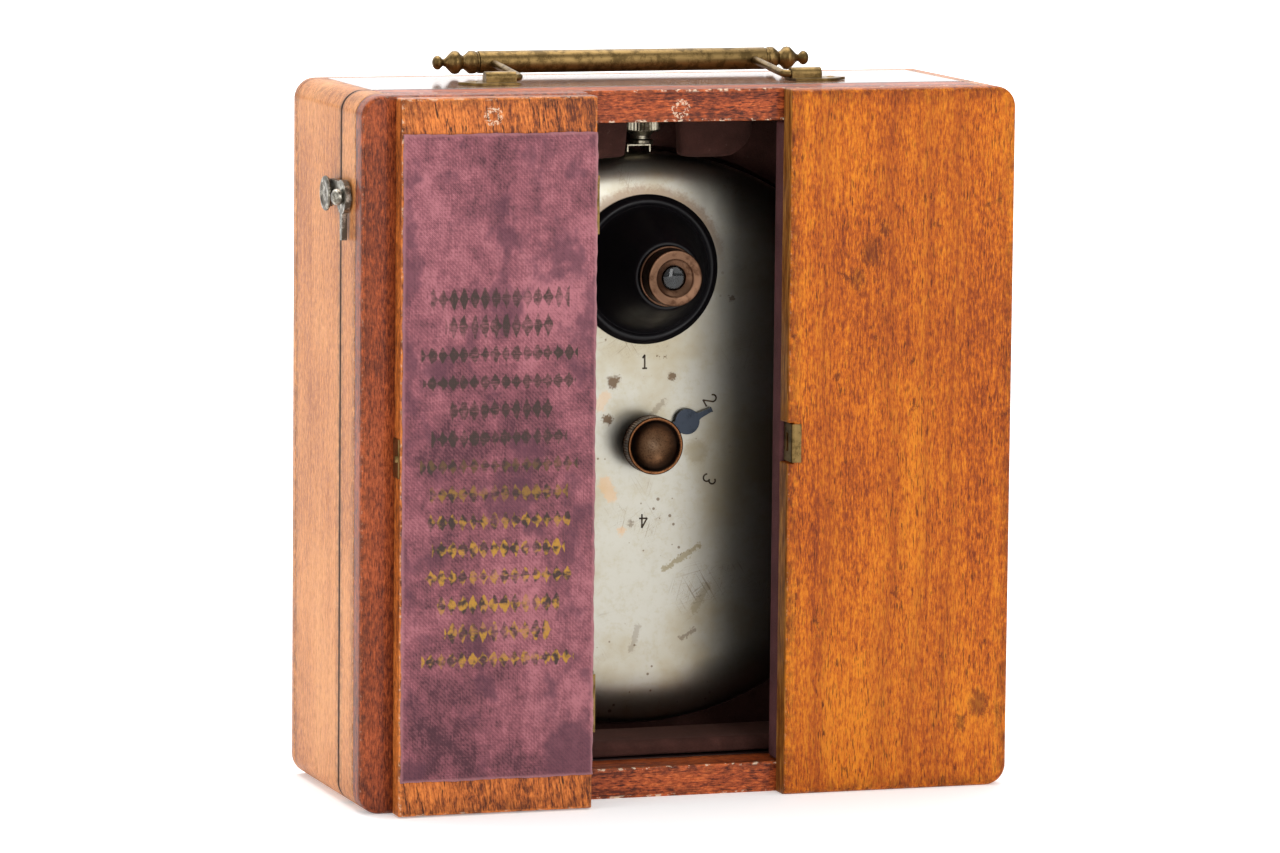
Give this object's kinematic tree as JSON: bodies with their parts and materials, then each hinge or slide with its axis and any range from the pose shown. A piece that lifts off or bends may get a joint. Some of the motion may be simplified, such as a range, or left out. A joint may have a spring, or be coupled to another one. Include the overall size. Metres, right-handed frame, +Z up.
{
  "type": "disc camera in a wooden case",
  "caption": "Thin disc-shaped concealed camera with a rotating plate, in a hinged hardwood case with a cloth-lined front door and brass carrying handle.",
  "frame": {"origin": "on the base, at the middle of the case's width and depth", "axes": "+Z up, +X to the right seen from the front, +Y to the back"},
  "size_m": [0.1829, 0.0731, 0.1905],
  "materials": {
    "tray_wood": "glossy varnish, straight grain",
    "front_wood": "old varnish with dark flecks",
    "rail_wood": "red mahogany, satin",
    "door_wood": "satin, worn edges",
    "velvet": "matt pile",
    "cloth": "faded satin weave",
    "brass": "aged, satin",
    "dark_nickel": "tarnished",
    "nickel": "aged nickel plate, spotted",
    "steel": "bright",
    "blued_steel": "blued, satin",
    "bronze": "brown bronzed",
    "black_lacquer": "satin black",
    "glass": "clear"
  },
  "bodies": {
    "tray": {"tray_side_left": "tray_wood", "tray_side_right": "tray_wood", "tray_top": "tray_wood", "tray_bottom": "tray_wood", "tray_back_board": "tray_wood", "former": "velvet", "bottom_pad": "velvet", "top_pad_left": "velvet", "top_pad_right": "velvet", "tripod_bush": "brass", "hook_keeper": "dark_nickel", "handle_bracket_left": "brass", "handle_bracket_right": "brass", "lid_hinge_fixed_leaf_lower": "brass", "lid_hinge_fixed_leaf_upper": "brass", "lid_hinge_pin_lower": "brass", "lid_hinge_pin_upper": "brass", "front_shell": "nickel", "back_cover": "nickel", "lens_hood": "black_lacquer", "lens_tube": "bronze", "front_element": "glass", "light_baffle": "black_lacquer", "pressure_spring": "steel", "clasp_clip": "nickel", "shutter_spring": "steel"},
    "lid": {"lid_side_left": "tray_wood", "lid_side_right": "tray_wood", "lid_rail_top": "rail_wood", "lid_rail_bottom": "rail_wood", "lid_panel_left": "front_wood", "lid_panel_right": "front_wood", "lid_pad_left": "velvet", "lid_pad_right": "velvet", "door_catch": "brass", "hook_pivot": "dark_nickel", "lid_hinge_moving_leaf_lower": "brass", "lid_hinge_moving_leaf_upper": "brass", "door_hinge_fixed_leaf_lower": "brass", "door_hinge_fixed_leaf_upper": "brass"},
    "door": {"door_board": "door_wood", "door_cloth": "cloth", "door_strike": "steel", "door_hinge_moving_leaf_lower": "brass", "door_hinge_moving_leaf_upper": "brass"},
    "hook": {"side_hook": "dark_nickel"},
    "handle": {"handle_tube": "brass", "handle_finial_left": "brass", "handle_finial_right": "brass", "handle_arm_left": "brass", "handle_arm_right": "brass"},
    "winder": {"winding_knob": "bronze", "spindle": "steel", "pointer_hand": "blued_steel", "plate_carrier": "black_lacquer", "glass_plate": "glass"},
    "shutter": {"shutter_disc": "black_lacquer"},
    "release": {"release_lever": "nickel"},
    "clasp": {"clasp_nut": "nickel"}
  },
  "joints": [
    {"name": "lid_hinge", "type": "hinge", "parent": "tray", "child": "lid", "pos_m": [0.0892, -0.01305, 0.09175], "axis": [0, 0, 1], "range_deg": [0, 180]},
    {"name": "door_hinge", "type": "hinge", "parent": "lid", "child": "door", "pos_m": [-0.0271, -0.0331, 0.09175], "axis": [0, 0, 1], "range_deg": [0, 180]},
    {"name": "hook_turn", "type": "hinge", "parent": "lid", "child": "hook", "pos_m": [-0.0895, -0.02005, 0.157], "axis": [1, 0, 0], "range_deg": [0, 60]},
    {"name": "handle_swing", "type": "hinge", "parent": "tray", "child": "handle", "pos_m": [-0.0011, -0.00195, 0.1852], "axis": [1, 0, 0], "range_deg": [0, 172]},
    {"name": "winder_turn", "type": "hinge", "parent": "tray", "child": "winder", "pos_m": [0, 0.00625, 0.0886], "axis": [0, 1, 0], "continuous": true},
    {"name": "shutter_turn", "type": "hinge", "parent": "tray", "child": "shutter", "pos_m": [0, 0.0083, 0.0886], "axis": [0, -1, 0], "range_deg": [0, 100], "stiffness_Nm_per_rad": 0.01, "springref_deg": -11.46},
    {"name": "release_press", "type": "hinge", "parent": "tray", "child": "release", "pos_m": [-0.016, 0.01345, 0.0109], "axis": [0, -1, 0], "range_deg": [0, 5], "stiffness_Nm_per_rad": 0.02, "springref_deg": -2.86},
    {"name": "clasp_turn", "type": "hinge", "parent": "tray", "child": "clasp", "pos_m": [0.0006, 0.01355, 0.17], "axis": [0, 0, 1], "continuous": true}
  ]
}
